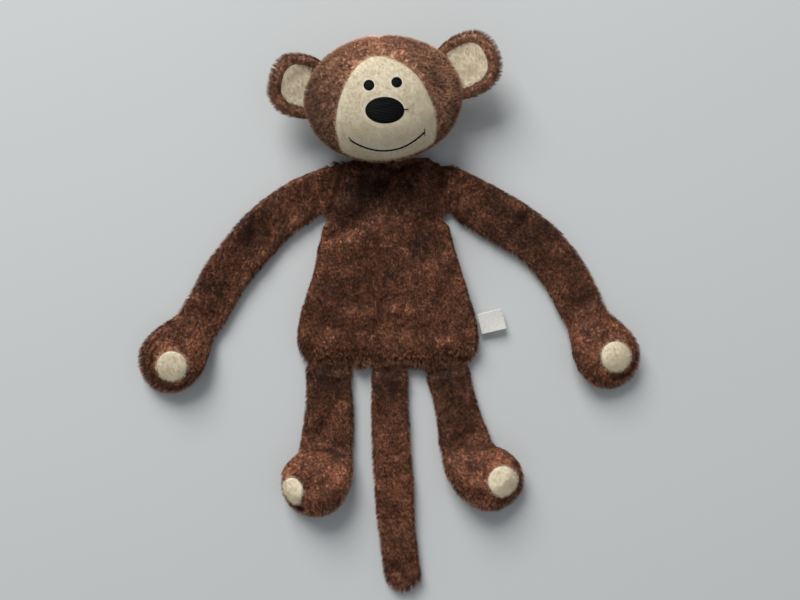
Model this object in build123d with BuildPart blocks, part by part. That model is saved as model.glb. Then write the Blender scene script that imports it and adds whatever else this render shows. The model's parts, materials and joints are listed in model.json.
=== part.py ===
from build123d import *
from math import radians, tan
import os

# A floppy stuffed monkey, about 37 cm from ear to tail tip, lying on its back.
# Millimetres. +Z is up, +Y runs from the tail to the head, and +X is the monkey's left.
# The origin is the middle of the torso's back, on the surface that the toy lies on.

# ---- cloth and folds --------------------------------------------------------------
SKIN = 4.0              # one layer of plush: its backing and its pile
LIMB_HALF = 4.5         # a limp limb is two layers, this much each side of its middle
EDGE_ROUND = 3.2        # rounding along the edge of a limp limb
FOLD_SLOPE = 32         # degrees: how a layer thins out towards the line it folds on
FOLD_RADIUS = 0.8       # rounded edge that the next stretch of cloth turns about
FREE_EDGE = 0.6         # half the thickness of the edge that turns
SEAM_RADIUS = 1.2       # a sewn seam with its turned-in edges
FREE_GAP = 0.35         # what two stretches keep between them as one folds
STUFFING_GAP = 0.1      # between the stuffing and the cloth round it
FAR = 60                # longer than any cut has to reach

# ---- torso ------------------------------------------------------------------------
TORSO_TOP = 13.0        # height of the belly
TORSO_SLOPE = 30        # degrees that the torso thins by towards the neck
SEAM_MARGIN = 6         # the torso is thin this far past each end of a seam
WADDING_BASE = 3.0
WADDING_TOP = 9.5
NECK_HEIGHT = 7.5       # the head lifts the neck edge off the surface
NECK = ((33, 71), (-28, 71))
NECK_SEAM_LENGTH = 53
SHOULDER_LEFT = ((39.3, 67), (39, 34))        # neck end, armpit end
SHOULDER_RIGHT = ((-33, 68), (-42.5, 34))
HIP_LEFT = ((52.5, -65), (23.4, -69.5))       # outer end, inner end
HIP_RIGHT = ((-54.5, -63.5), (-26, -67))
TAIL_ROOT = ((12.9, -68.3), (-10.9, -68))
SIDE_LEFT = [(44, 11), (53.5, -20), (59.5, -46), (57, -59)]
SIDE_RIGHT = [(-57, -60), (-60, -45), (-52, -14), (-46, 14)]
WADDING_OUTLINE = [(-27, 52), (31, 52), (38, 8), (50, -50), (-49, -50), (-41, 8)]

# ---- head -------------------------------------------------------------------------
HEAD_CENTRE = (-3, 105, 27)
HEAD_HALF = (49.5, 40, 31)         # half the width, length and depth before it is flattened
HEAD_TILT = 6                      # degrees that the head leans over on the surface
FACE_TOP = 24
FACE_SIDE = [(21, 11.5), (31.5, -9), (33, -26), (23, -40)]
FACE_BOTTOM = -43
EYE_DIAMETER = 6.6
EYES = {"left_eye": (9, 3.5), "right_eye": (-8, 3.5)}
NOSE_SIZE = (24, 15.5)
NOSE_PLACE = (0, -12.5)
MOUTH_SPAN = 23.5                  # half the width of the smile
MOUTH_ENDS = -26
MOUTH_LOW = -35
MOUTH_WIDTH = 1.8
STITCH_HEIGHT = 1.0                # embroidery stands this far above the pile

# ---- ears -------------------------------------------------------------------------
EAR_RADIUS = 21.5
EAR_LAYER = 4.0
EAR_OUT = 6.5                      # from the ear's seam to the middle of its disc
EAR_LEAN = 18                      # degrees that the ear stands up from level
EAR_SEAM_HEIGHT = 24
EAR_SEAM_LENGTH = 36
EAR_FACING = 18                    # degrees from straight sideways towards the crown
EAR_FROM_CENTRE = 50.1             # from the head's middle to the ear's seam
EAR_LINING_RADIUS = 14.5
EAR_LINING_THICK = 1.6

# ---- arms: (outer end, inner end) of each fold, and a point on each side between ---
ARMS = {
    "left": dict(
        shoulder=SHOULDER_LEFT, elbow=((95, 38.2), (77, 11.8)), wrist=((140, -21), (112.5, -33)),
        upper_sides=((71, 53), (56, 22.5)), lower_sides=((121, 14), (97, -6.5)),
        hand_heading=(0.462, -0.887), pad=(146.9, -59.6)),
    "right": dict(
        shoulder=SHOULDER_RIGHT, elbow=((-95, 33.6), (-73, 10.4)), wrist=((-134, -25), (-108, -40)),
        upper_sides=((-66, 55.5), (-57, 25.5)), lower_sides=((-117.5, 5), (-93, -13.5)),
        hand_heading=(-0.583, -0.813), pad=(-139.8, -65.7)),
}
# along the hand from the wrist, half width, half depth
HAND_SECTIONS = [(1, 14.5, 1), (10, 15.5, 5.5), (22, 19.5, 9.5), (37, 21.5, 11.5), (50, 16, 8.5), (57.5, 6, 4)]
HAND_PAD_DIAMETER = 23

# ---- legs: as the arms, with each foot's sections: place, heading, half width, half depth ----
LEGS = {
    "left": dict(
        hip=HIP_LEFT, ankle=((64.7, -108), (32.5, -115.5)), sides=((58, -87), (29.5, -91)),
        foot=[((48.9, -113), (0.233, -0.973), 15.8, 1), ((51, -121), (0.35, -0.94), 17.5, 7),
              ((56.5, -130.5), (0.6, -0.8), 20.5, 11.5), ((66, -138.5), (0.75, -0.66), 21.5, 13.5),
              ((77, -146), (0.8, -0.6), 17, 10.5), ((84.5, -151), (0.8, -0.6), 6, 4.5)],
        pad=(72.9, -139.3), pad_faces=(0.12, -0.08, 1)),
    "right": dict(
        hip=HIP_RIGHT, ankle=((-57.5, -113), (-23, -114.5)), sides=((-55, -88), (-23.2, -92)),
        foot=[((-40.3, -114.8), (-0.02, -1), 16, 1), ((-41, -123), (-0.1, -0.99), 18, 7),
              ((-44.5, -134), (-0.35, -0.94), 21.5, 12), ((-50.5, -145), (-0.5, -0.87), 22, 14),
              ((-57, -154.5), (-0.55, -0.83), 15.5, 10.5), ((-60.8, -160), (-0.55, -0.83), 5, 4)],
        pad=(-60.5, -146.5), pad_faces=(-0.55, -0.3, 0.8)),
}
FOOT_PAD_DIAMETER = 22.5

# ---- tail -------------------------------------------------------------------------
TAIL_FOLD = ((16.9, -142), (-10.2, -140))
TAIL_SIDES = ((14, -104), (-11.6, -104))
TAIL_TIP_SIDES = ((17.8, -172), (-7, -174))
TAIL_END = ((22, -204), (9, -214.5), (-3, -204))

# ---- care label -------------------------------------------------------------------
LABEL_ROOT = ((58.6, -33), (61.6, -45.5))
LABEL_LENGTH = 17.5
LABEL_THICK = 0.8
LABEL_DROOP = 12                   # degrees below level

os.makedirs("parts", exist_ok=True)


def write(piece, name):
    """Labels a finished piece and writes it to its own file."""
    piece.part.label = name
    export_step(piece.part, f"parts/{name}.step")


def across(line, inside, height=LIMB_HALF):
    """A plane square to a fold line at its middle: x points into the cloth, y points up."""
    start, end = Vector(*line[0]), Vector(*line[1])
    middle = (start + end) * 0.5
    along = (end - start).normalized()
    inward = Vector(0, 0, 1).cross(along)
    if inward.dot(Vector(*inside) - middle) < 0:
        inward = -inward
    return Plane(origin=middle + Vector(0, 0, height), x_dir=inward, z_dir=inward.cross(Vector(0, 0, 1)))


def span(line):
    """The length of a fold line."""
    return (Vector(*line[0]) - Vector(*line[1])).length


def middle_of(line):
    """The middle of a fold line."""
    return ((line[0][0] + line[1][0]) / 2, (line[0][1] + line[1][1]) / 2)


def thin_towards(fold_plane, clear, edge=FREE_EDGE, slope=FOLD_SLOPE, reach=FAR):
    """Thins the active piece down to a narrow edge that stops just short of a fold."""
    rise = FAR * tan(radians(slope))
    with BuildSketch(fold_plane) as waste:
        with BuildLine():
            Polyline((-FAR, -FAR), (-FAR, FAR), (clear + FAR, edge + rise), (clear, edge),
                     (clear, -edge), (clear + FAR, -edge - rise), close=True)
        make_face()
    extrude(waste.sketch, amount=reach, both=True, mode=Mode.SUBTRACT)


def round_edge(line, inside, upper):
    """Adds half of the round edge that the next stretch of cloth turns about."""
    with BuildSketch(across(line, inside)) as half_round:
        Circle(FOLD_RADIUS)
        with Locations((0, -FOLD_RADIUS if upper else FOLD_RADIUS)):
            Rectangle(3 * FOLD_RADIUS, 2 * FOLD_RADIUS, mode=Mode.SUBTRACT)
    extrude(half_round.sketch, amount=span(line) / 2, both=True)


def limp_stretch(name, root, tip, sides, root_clear=SEAM_RADIUS + FREE_GAP, end=None):
    """The back and front layers of a flat limb between two fold lines, or to a round end."""
    inside = middle_of(sides)
    for layer in ("back", "front"):
        upper = layer == "front"
        with BuildPart() as panel:
            with BuildSketch(Plane.XY.offset(LIMB_HALF if upper else 0)):
                with BuildLine():
                    Line(root[1], root[0])
                    ThreePointArc(root[0], sides[0], tip[0])
                    if end:
                        ThreePointArc(tip[0], end, tip[1])
                    else:
                        Line(tip[0], tip[1])
                    ThreePointArc(tip[1], sides[1], root[1])
                make_face()
            extrude(amount=LIMB_HALF)
            rim = panel.edges().group_by(Axis.Z)[-1 if upper else 0]
            fillet(rim.filter_by(GeomType.CIRCLE), EDGE_ROUND)
            thin_towards(across(root, inside), root_clear)
            if not end:
                thin_towards(across(tip, inside), 0, FOLD_RADIUS)
                round_edge(tip, inside, upper)
        write(panel, f"{name}_{layer}")


def seam(name, line, height=LIMB_HALF, length=None):
    """A round seam allowance along a sewn line."""
    with BuildPart() as roll:
        with BuildSketch(across(line, (0, 0), height)):
            Circle(SEAM_RADIUS)
        extrude(amount=(length or span(line)) / 2, both=True)
    write(roll, name)


def stuffed_form(sections, shrink=0.0):
    """A plump closed form through oval sections, lying on the surface or that far inside it."""
    with BuildPart() as form:
        for (x, y), (dx, dy), half_width, half_depth in sections:
            centre = max(LIMB_HALF, half_depth)
            plane = Plane(origin=(x, y, centre), x_dir=(-dy, dx, 0), z_dir=(dx, dy, 0))
            with BuildSketch(plane):
                Ellipse(half_width - shrink, half_depth - shrink)
        loft()
        with BuildSketch(Plane.XY.offset(shrink)):
            with Locations(sections[-1][0]):
                Rectangle(4 * FAR, 4 * FAR)
        extrude(amount=FAR, mode=Mode.INTERSECT)
    return form.part


def stuffed_end(name, fold, sections, pad, pad_faces, pad_diameter):
    """A hand or a foot: back and front shells, a sewn-in pad and the stuffing."""
    hollow = [section for section in sections if section[3] > SKIN + 1]
    inner = stuffed_form(hollow, SKIN)
    with BuildPart() as shell:
        add(stuffed_form(sections))
        add(inner, mode=Mode.SUBTRACT)
        thin_towards(across(fold, sections[3][0]), FOLD_RADIUS + FREE_GAP)
    middle = Vector(*sections[3][0], sections[3][3])
    along = middle - Vector(*middle_of(fold), LIMB_HALF)
    halving = Plane(origin=middle, x_dir=along, z_dir=along.cross(Vector(0, 0, 1).cross(along)))
    with BuildPart() as back:
        add(shell.part)
        split(bisect_by=halving, keep=Keep.BOTTOM)
    write(back, f"{name}_back")
    for piece, mode in (("front", Mode.SUBTRACT), ("pad", Mode.INTERSECT)):
        with BuildPart() as front:
            add(shell.part)
            split(bisect_by=halving, keep=Keep.TOP)
            with BuildSketch(Plane(origin=(*pad, middle.Z), z_dir=pad_faces)):
                Circle(pad_diameter / 2)
            extrude(amount=FAR, mode=mode)
        write(front, f"{name}_{piece}")
    with BuildPart() as filling:
        add(stuffed_form(hollow, SKIN + STUFFING_GAP))
    write(filling, f"{name}_stuffing")


# ---- torso ------------------------------------------------------------------------
SEWN_ON = [SHOULDER_LEFT, SHOULDER_RIGHT, HIP_LEFT, HIP_RIGHT, TAIL_ROOT]


def torso_panel(name, upper):
    """Half of the torso's cover, thinned towards everything that is sewn to it."""
    with BuildPart() as panel:
        with BuildSketch(Plane.XY.offset(LIMB_HALF if upper else 0)):
            with BuildLine():
                Polyline(SHOULDER_RIGHT[1], SHOULDER_RIGHT[0], NECK[1], NECK[0], *SHOULDER_LEFT)
                Spline(SHOULDER_LEFT[1], *SIDE_LEFT, HIP_LEFT[0])
                Polyline(*HIP_LEFT, *TAIL_ROOT, HIP_RIGHT[1], HIP_RIGHT[0])
                Spline(HIP_RIGHT[0], *SIDE_RIGHT, SHOULDER_RIGHT[1])
            make_face()
        extrude(amount=TORSO_TOP - LIMB_HALF if upper else LIMB_HALF)
        rim = panel.edges().group_by(Axis.Z)[-1 if upper else 0]
        fillet(rim.filter_by(GeomType.BSPLINE), EDGE_ROUND)
        for line in SEWN_ON:
            thin_towards(across(line, (0, 0)), SEAM_RADIUS, reach=span(line) / 2 + SEAM_MARGIN)
        neck_edge = across(NECK, (0, 0), NECK_HEIGHT)
        thin_towards(neck_edge, SEAM_RADIUS, slope=TORSO_SLOPE, reach=span(NECK) / 2 + SEAM_MARGIN)
        with BuildSketch(Plane.XY.offset(WADDING_BASE)):
            with BuildLine():
                Polyline(*WADDING_OUTLINE, close=True)
            make_face()
        extrude(amount=WADDING_TOP - WADDING_BASE, mode=Mode.SUBTRACT)
    write(panel, name)


torso_panel("torso_back", upper=False)
torso_panel("torso_front", upper=True)

with BuildPart() as torso_wadding:
    with BuildSketch(Plane.XY.offset(WADDING_BASE)):
        with BuildLine():
            Polyline(*WADDING_OUTLINE, close=True)
        make_face()
    extrude(amount=WADDING_TOP - WADDING_BASE)
write(torso_wadding, "torso_wadding")

seam("neck_seam", NECK, NECK_HEIGHT, NECK_SEAM_LENGTH)
seam("shoulder_seam_left", SHOULDER_LEFT)
seam("shoulder_seam_right", SHOULDER_RIGHT)
seam("hip_seam_left", HIP_LEFT)
seam("hip_seam_right", HIP_RIGHT)
seam("tail_seam", TAIL_ROOT)

# ---- head -------------------------------------------------------------------------
HEAD_PLANE = Plane(origin=(*HEAD_CENTRE[:2], 0)).rotated((0, 0, HEAD_TILT))


def head_form(grow=0.0):
    """The head's round form, flattened where it lies, made larger or smaller all round."""
    half_x, half_y, half_z = (half + grow for half in HEAD_HALF)
    with BuildPart() as ball:
        Sphere(half_y)
        scale(by=(half_x / half_y, 1, half_z / half_y))
    with BuildPart() as form:
        add(HEAD_PLANE.offset(HEAD_CENTRE[2]).location * ball.part)
        split(bisect_by=Plane.XY.offset(max(-grow, 0)), keep=Keep.TOP)
    return form.part


HEAD_OUTER = head_form()
HEAD_INNER = head_form(-SKIN)


def face_prism(mode):
    """The upright prism that the face patch is cut with."""
    with BuildSketch(HEAD_PLANE.offset(HEAD_CENTRE[2])) as face:
        with BuildLine():
            other_side = [(-x, y) for x, y in reversed(FACE_SIDE)]
            Spline((0, FACE_TOP), *FACE_SIDE, (0, FACE_BOTTOM), *other_side, periodic=True)
        make_face()
    extrude(face.sketch, amount=FAR, mode=mode)


for side, keep in (("left", Keep.TOP), ("right", Keep.BOTTOM)):
    with BuildPart() as head_side:
        add(HEAD_OUTER)
        add(HEAD_INNER, mode=Mode.SUBTRACT)
        face_prism(Mode.SUBTRACT)
        centre_seam = Plane(origin=HEAD_PLANE.origin, x_dir=(0, 0, 1), z_dir=HEAD_PLANE.x_dir)
        split(bisect_by=centre_seam, keep=keep)
    write(head_side, f"head_side_{side}")

with BuildPart() as face_panel:
    add(HEAD_OUTER)
    add(HEAD_INNER, mode=Mode.SUBTRACT)
    face_prism(Mode.INTERSECT)
write(face_panel, "face_panel")

with BuildPart() as head_stuffing:
    add(head_form(-SKIN - STUFFING_GAP))
write(head_stuffing, "head_stuffing")

STITCH_SHEET = head_form(STITCH_HEIGHT) - HEAD_OUTER

for name, place in EYES.items():
    with BuildPart() as eye:
        with BuildSketch(HEAD_PLANE.offset(HEAD_CENTRE[2])):
            with Locations(place):
                Circle(EYE_DIAMETER / 2)
        extrude(amount=FAR)
        add(STITCH_SHEET, mode=Mode.INTERSECT)
    write(eye, name)

with BuildPart() as nose:
    with BuildSketch(HEAD_PLANE.offset(HEAD_CENTRE[2])):
        with Locations(NOSE_PLACE):
            Ellipse(NOSE_SIZE[0] / 2, NOSE_SIZE[1] / 2)
    extrude(amount=FAR)
    add(STITCH_SHEET, mode=Mode.INTERSECT)
write(nose, "nose")

with BuildPart() as mouth_stitch:
    with BuildSketch(HEAD_PLANE.offset(HEAD_CENTRE[2])):
        with BuildLine() as smile:
            ThreePointArc((-MOUTH_SPAN, MOUTH_ENDS), (0, MOUTH_LOW), (MOUTH_SPAN, MOUTH_ENDS))
        trace(line_width=MOUTH_WIDTH)
    extrude(amount=FAR)
    add(STITCH_SHEET, mode=Mode.INTERSECT)
write(mouth_stitch, "mouth_stitch")

# ---- ears -------------------------------------------------------------------------
for side, facing in (("left", EAR_FACING), ("right", 180 - EAR_FACING)):
    level = Plane(origin=(*HEAD_CENTRE[:2], EAR_SEAM_HEIGHT)).rotated((0, 0, HEAD_TILT + facing))
    root = level.origin + level.x_dir * EAR_FROM_CENTRE
    outward = Vector(level.x_dir).rotate(Axis((0, 0, 0), level.y_dir), -EAR_LEAN)
    face = Plane(origin=root, x_dir=outward, z_dir=outward.cross(level.y_dir))
    fold_plane = Plane(origin=root, x_dir=outward, z_dir=-face.y_dir)
    disc_middle = (EAR_OUT, 0)

    with BuildPart() as ear_seam:
        with BuildSketch(fold_plane):
            Circle(SEAM_RADIUS)
        extrude(amount=EAR_SEAM_LENGTH / 2, both=True)
    write(ear_seam, f"ear_seam_{side}")

    with BuildPart() as ear_back:
        with BuildSketch(face):
            with Locations(disc_middle):
                Circle(EAR_RADIUS)
        extrude(amount=-EAR_LAYER)
        thin_towards(fold_plane, SEAM_RADIUS + FREE_GAP)
    write(ear_back, f"ear_back_{side}")

    with BuildPart() as ear_rim:
        with BuildSketch(face):
            with Locations(disc_middle):
                Circle(EAR_RADIUS)
                Circle(EAR_LINING_RADIUS, mode=Mode.SUBTRACT)
        extrude(amount=EAR_LAYER)
        thin_towards(fold_plane, SEAM_RADIUS + FREE_GAP)
    write(ear_rim, f"ear_rim_{side}")

    with BuildPart() as ear_lining:
        with BuildSketch(face):
            with Locations(disc_middle):
                Circle(EAR_LINING_RADIUS)
        extrude(amount=EAR_LINING_THICK)
        thin_towards(fold_plane, SEAM_RADIUS + FREE_GAP)
    write(ear_lining, f"ear_lining_{side}")

# ---- arms -------------------------------------------------------------------------
for side, arm in ARMS.items():
    limp_stretch(f"upper_arm_{side}", arm["shoulder"], arm["elbow"], arm["upper_sides"])
    limp_stretch(f"forearm_{side}", arm["elbow"], arm["wrist"], arm["lower_sides"], FOLD_RADIUS + FREE_GAP)
    wrist = Vector(*middle_of(arm["wrist"]))
    heading = Vector(*arm["hand_heading"])
    sections = []
    for along, half_width, half_depth in HAND_SECTIONS:
        place = wrist + heading * along
        sections.append(((place.X, place.Y), arm["hand_heading"], half_width, half_depth))
    stuffed_end(f"hand_{side}", arm["wrist"], sections, arm["pad"], (0, 0, 1), HAND_PAD_DIAMETER)

# ---- legs -------------------------------------------------------------------------
for side, leg in LEGS.items():
    limp_stretch(f"leg_{side}", leg["hip"], leg["ankle"], leg["sides"])
    stuffed_end(f"foot_{side}", leg["ankle"], leg["foot"], leg["pad"], leg["pad_faces"], FOOT_PAD_DIAMETER)

# ---- tail -------------------------------------------------------------------------
limp_stretch("tail_base", TAIL_ROOT, TAIL_FOLD, TAIL_SIDES)
limp_stretch("tail_tip", TAIL_FOLD, (TAIL_END[0], TAIL_END[2]), TAIL_TIP_SIDES,
             FOLD_RADIUS + FREE_GAP, end=TAIL_END[1])

# ---- label ------------------------------------------------------------------------
label_edge = across(LABEL_ROOT, (FAR * 2, middle_of(LABEL_ROOT)[1]))
with BuildPart() as side_label:
    with BuildSketch(label_edge.rotated((0, 0, -LABEL_DROOP))):
        Circle(LABEL_THICK / 2)
        with Locations((LABEL_LENGTH / 2, 0)):
            Rectangle(LABEL_LENGTH, LABEL_THICK)
    extrude(amount=span(LABEL_ROOT) / 2, both=True)
write(side_label, "side_label")
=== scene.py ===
"""The looks of a floppy stuffed monkey that lies on its back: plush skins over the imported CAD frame.

Everything is in metres in the CAD's frame: +Z up, +Y towards the head, +X the monkey's left.
The limp parts are remeshed from the CAD solids, and the head is read off them by casting rays.
"""
import json
import math
import bmesh
import bpy
import numpy as np
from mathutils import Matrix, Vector
from mathutils.bvhtree import BVHTree

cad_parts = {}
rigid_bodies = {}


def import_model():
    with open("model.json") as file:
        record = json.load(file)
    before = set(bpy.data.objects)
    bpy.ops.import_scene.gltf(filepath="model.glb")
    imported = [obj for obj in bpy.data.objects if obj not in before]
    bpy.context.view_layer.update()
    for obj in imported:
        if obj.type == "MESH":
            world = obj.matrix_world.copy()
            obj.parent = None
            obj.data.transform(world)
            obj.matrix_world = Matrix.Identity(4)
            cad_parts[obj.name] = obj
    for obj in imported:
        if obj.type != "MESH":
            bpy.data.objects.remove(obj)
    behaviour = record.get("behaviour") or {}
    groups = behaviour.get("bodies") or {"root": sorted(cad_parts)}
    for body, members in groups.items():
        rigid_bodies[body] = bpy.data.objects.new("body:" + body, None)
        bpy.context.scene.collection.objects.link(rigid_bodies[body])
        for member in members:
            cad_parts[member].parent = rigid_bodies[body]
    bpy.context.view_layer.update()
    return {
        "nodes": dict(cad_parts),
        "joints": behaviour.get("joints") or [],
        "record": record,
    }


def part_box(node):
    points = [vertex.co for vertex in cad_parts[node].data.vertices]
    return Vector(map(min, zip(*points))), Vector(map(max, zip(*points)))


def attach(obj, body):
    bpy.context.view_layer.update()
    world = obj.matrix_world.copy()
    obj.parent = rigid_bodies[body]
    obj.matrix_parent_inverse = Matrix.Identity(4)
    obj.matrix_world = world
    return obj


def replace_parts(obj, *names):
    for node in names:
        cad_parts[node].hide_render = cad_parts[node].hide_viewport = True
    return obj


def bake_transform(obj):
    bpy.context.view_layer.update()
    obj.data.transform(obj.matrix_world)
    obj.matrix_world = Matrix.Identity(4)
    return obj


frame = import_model()
JOINTS = {joint["name"]: joint for joint in frame["joints"]}
SIDES = {"left": 1, "right": -1}

# ---- sizes, in metres -------------------------------------------------------------
MM = 0.001
PILE = 2.9 * MM              # how far the pile stands off its backing
HEM_PILE = 3.6 * MM          # it hangs over where the limbs and tail are sewn on
EAR_PILE = 2.3 * MM
INSET = 1.5 * MM             # the backing lies this far inside the plush's outline
STRAND = 0.075 * MM          # a strand's width at its root
HAIRS_PER_MM2 = 0.9          # guide hairs; each has CHILDREN strands round it
CHILDREN = 6
BACKING = 2.5 * MM           # the head's cloth with the wadding behind it
FACE_RADIUS = 38 * MM        # these two turn an angle on the head into a distance
HOOD_RADIUS = 42 * MM
EAR_OUTLINE = 21.5 * MM      # an ear's half width with its pile, and without
EAR_RADIUS = 19.7 * MM
EAR_SHIFT = {"left": (1.0 * MM, -1.2 * MM, 0), "right": (3.2 * MM, -3.0 * MM, 0)}
EAR_STRETCH = {"left": 1.05, "right": 0.98}
EAR_TUCK = 6.0 * MM          # how far an ear reaches past its seam, into the head
EAR_EDGE = 2.6 * MM          # how deep its rolled edge is
LINING_HALF = (13.6 * MM, 13.2 * MM)
LINING_SHORT = 5.0 * MM      # the lining stops this far before the ear's own end, so that the ear folds freely
CAMERA_HEIGHT = 650 * MM
CAMERA_AXIS = (7.6 * MM, -23.1 * MM)     # where the camera looks straight down
VIEW_WIDTH = 533 * MM        # what it takes in just above the floor
SENSOR = 36.0


# ---- numbers: noise, curves, rays -------------------------------------------------
def lattice(cell, seed):
    """A repeatable number from -1 to 1 for each whole-number cell."""
    mask = 0xFFFFFFFF
    mixed = (cell[..., 0] * 374761393 + cell[..., 1] * 668265263 + cell[..., 2] * 1440662683 + seed * 144269504) & mask
    mixed = ((mixed ^ (mixed >> 13)) * 1274126177) & mask
    return ((mixed ^ (mixed >> 16)) & mask) / mask * 2 - 1


def noise(points, size, seed):
    """Smooth noise from -1 to 1 with lumps about that size across; size may differ per axis."""
    place = points / np.asarray(size)
    cell = np.floor(place).astype(np.int64)
    part = place - cell
    part = part * part * (3 - 2 * part)
    total = 0
    for corner in range(8):
        step = np.array([corner & 1, corner >> 1 & 1, corner >> 2 & 1])
        weight = np.prod(np.where(step, part, 1 - part), axis=-1)
        total = total + weight * lattice(cell + step, seed)
    return total


def smooth_ramp(value, low, high):
    """0 below low, 1 above high, and smooth between."""
    t = np.clip((value - low) / (high - low), 0, 1)
    return t * t * (3 - 2 * t)


def bump_at(points, centre, size):
    """A round swelling of height 1 that fades over about size."""
    return np.exp(-np.sum((points - np.asarray(centre)) ** 2, axis=-1) / size ** 2)


def crease_at(points, line, size):
    """The same along a line of points, for a fold in the cloth; looked at from above."""
    nearest = np.full(points.shape[:-1], 1e9)
    flat = points[..., :2]
    for start, end in zip(line[:-1], line[1:]):
        start, end = np.asarray(start, float), np.asarray(end, float)
        run = end - start
        t = np.clip(((flat - start) @ run) / (run @ run), 0, 1)
        gap = np.sum((flat - start - t[..., None] * run) ** 2, axis=-1)
        nearest = np.minimum(nearest, gap)
    return np.exp(-nearest / size ** 2)


def tree_of(mesh):
    return BVHTree.FromPolygons([v.co.copy() for v in mesh.vertices], [list(p.vertices) for p in mesh.polygons])


def surface_of(*names):
    """The outside of some CAD nodes together, to cast rays at."""
    points, faces = [], []
    for name in names:
        mesh = frame["nodes"][name].data
        faces += [[len(points) + v for v in face.vertices] for face in mesh.polygons]
        points += [v.co.copy() for v in mesh.vertices]
    return BVHTree.FromPolygons(points, faces)


def outer_hit(surface, inside, direction, far=0.09):
    """How far the surface reaches from a point inside it, or nothing where the ray misses."""
    direction = Vector(direction)
    start = Vector(inside) + direction * far
    hit = surface.ray_cast(start, -direction, far)[0]
    return None if hit is None else far - (hit - start).length


def box_middle(*nodes):
    """The middle of the box round some CAD nodes."""
    lows, highs = zip(*(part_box(node) for node in nodes))
    return (np.min(lows, axis=0) + np.max(highs, axis=0)) / 2


def joint_place(name):
    return np.array(JOINTS[name]["pos_m"])


def joint_axis(name):
    return np.array(JOINTS[name]["axis"])


# ---- materials --------------------------------------------------------------------
def new_material(name):
    """A material, what its nodes are made with, its shader, and the coordinates that its textures use."""
    material = bpy.data.materials.new(name)
    material.use_nodes = True
    nodes = material.node_tree.nodes
    coords = nodes.new("ShaderNodeTexCoord").outputs["Object"]
    return material, nodes, material.node_tree.links, nodes["Principled BSDF"], coords


def set_inputs(node, values):
    for socket, value in values.items():
        node.inputs[socket].default_value = value


def colour_ramp(nodes, links, factor, stops):
    ramp = nodes.new("ShaderNodeValToRGB")
    links.new(factor, ramp.inputs["Fac"])
    while len(ramp.color_ramp.elements) > 1:
        ramp.color_ramp.elements.remove(ramp.color_ramp.elements[-1])
    for k, (place, colour) in enumerate(stops):
        stop = ramp.color_ramp.elements[0] if k == 0 else ramp.color_ramp.elements.new(place)
        stop.position = place
        stop.color = (*colour, 1)
    return ramp.outputs["Color"]


def noise_node(nodes, links, coords, scale, detail=3.0, distortion=0.0):
    texture = nodes.new("ShaderNodeTexNoise")
    set_inputs(texture, {"Scale": scale, "Detail": detail, "Distortion": distortion})
    links.new(coords, texture.inputs["Vector"])
    return texture.outputs["Fac"]


def relief(nodes, links, shader, height, distance, strength):
    bump = nodes.new("ShaderNodeBump")
    set_inputs(bump, {"Distance": distance, "Strength": strength})
    links.new(height, bump.inputs["Height"])
    links.new(bump.outputs["Normal"], shader.inputs["Normal"])


def mix_colour(nodes, links, factor, first, second, mode="MIX"):
    mixer = nodes.new("ShaderNodeMix")
    mixer.data_type = "RGBA"
    mixer.blend_type = mode
    for socket, value in ((0, factor), (6, first), (7, second)):
        if isinstance(value, bpy.types.NodeSocket):
            links.new(value, mixer.inputs[socket])
        else:
            mixer.inputs[socket].default_value = value if socket == 0 else (*value, 1)
    return mixer.outputs[2]


def lighter_near(nodes, links, coords, colour, place, reach, gain):
    """The colour times gain at a place, and unchanged from reach away; the callers use it for painted shade and painted
    highlights, and to make the hands and feet lighter.
    """
    distance = nodes.new("ShaderNodeVectorMath")
    distance.operation = "DISTANCE"
    links.new(coords, distance.inputs[0])
    distance.inputs[1].default_value = place
    fade = nodes.new("ShaderNodeMapRange")
    fade.interpolation_type = "SMOOTHSTEP"
    links.new(distance.outputs["Value"], fade.inputs["Value"])
    set_inputs(fade, {"From Min": reach, "From Max": 0.25 * reach, "To Min": 0.0, "To Max": 1.0})
    return mix_colour(nodes, links, fade.outputs["Result"], colour,
                      mix_colour(nodes, links, 1.0, colour, (gain, gain, gain), "MULTIPLY"))


def plush(name, root, middle, tip, patch, patch_scale, sheen, pile_scale, clumps, places=()):
    """Pile cloth: each strand is dark at its root and light at its tip, which paints the shade deep in the pile and the
    light on its tips, in patches that lie different ways.
    """
    material, nodes, links, shader, coords = new_material(name)
    strand = nodes.new("ShaderNodeHairInfo").outputs

    def noisy(scale, detail, distortion, stops):
        return colour_ramp(nodes, links, noise_node(nodes, links, coords, scale, detail, distortion), stops)

    def times(first, second):
        return mix_colour(nodes, links, 1.0, first, second, "MULTIPLY")

    # root to tip along each strand: painted shade down in the pile, painted light on the strand tips
    along = colour_ramp(nodes, links, strand["Intercept"], [(0.0, root), (0.66, middle), (1.0, tip)])
    backing = noisy(pile_scale, 4.0, 0.4, [(0.1, root), (0.5, middle), (1.0, tip)])
    colour = mix_colour(nodes, links, strand["Is Strand"], backing, along)
    colour = times(colour, noisy(patch_scale, 3.0, 0.6, [(0.35, patch[0]), (0.65, patch[1])]))
    colour = times(colour, noisy(pile_scale * 0.4, 2.0, 1.0, [(0.40, [clumps[0]] * 3), (0.60, [clumps[1]] * 3)]))
    singles = colour_ramp(nodes, links, strand["Random"], [(0.0, (0.88, 0.88, 0.88)), (1.0, (1.12, 1.11, 1.10))])
    colour = mix_colour(nodes, links, strand["Is Strand"], colour, times(colour, singles))
    for place, reach, gain in places:
        colour = lighter_near(nodes, links, coords, colour, place, reach, gain)
    links.new(colour, shader.inputs["Base Color"])
    set_inputs(shader, {"Roughness": 0.62, "Sheen Weight": sheen, "Sheen Roughness": 0.45,
                        "Sheen Tint": (*[min(1, c * 1.6) for c in tip], 1), "Specular IOR Level": 0.25})
    relief(nodes, links, shader, noise_node(nodes, links, coords, pile_scale * 2.2), 0.6 * MM, 0.6)
    return material


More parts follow.
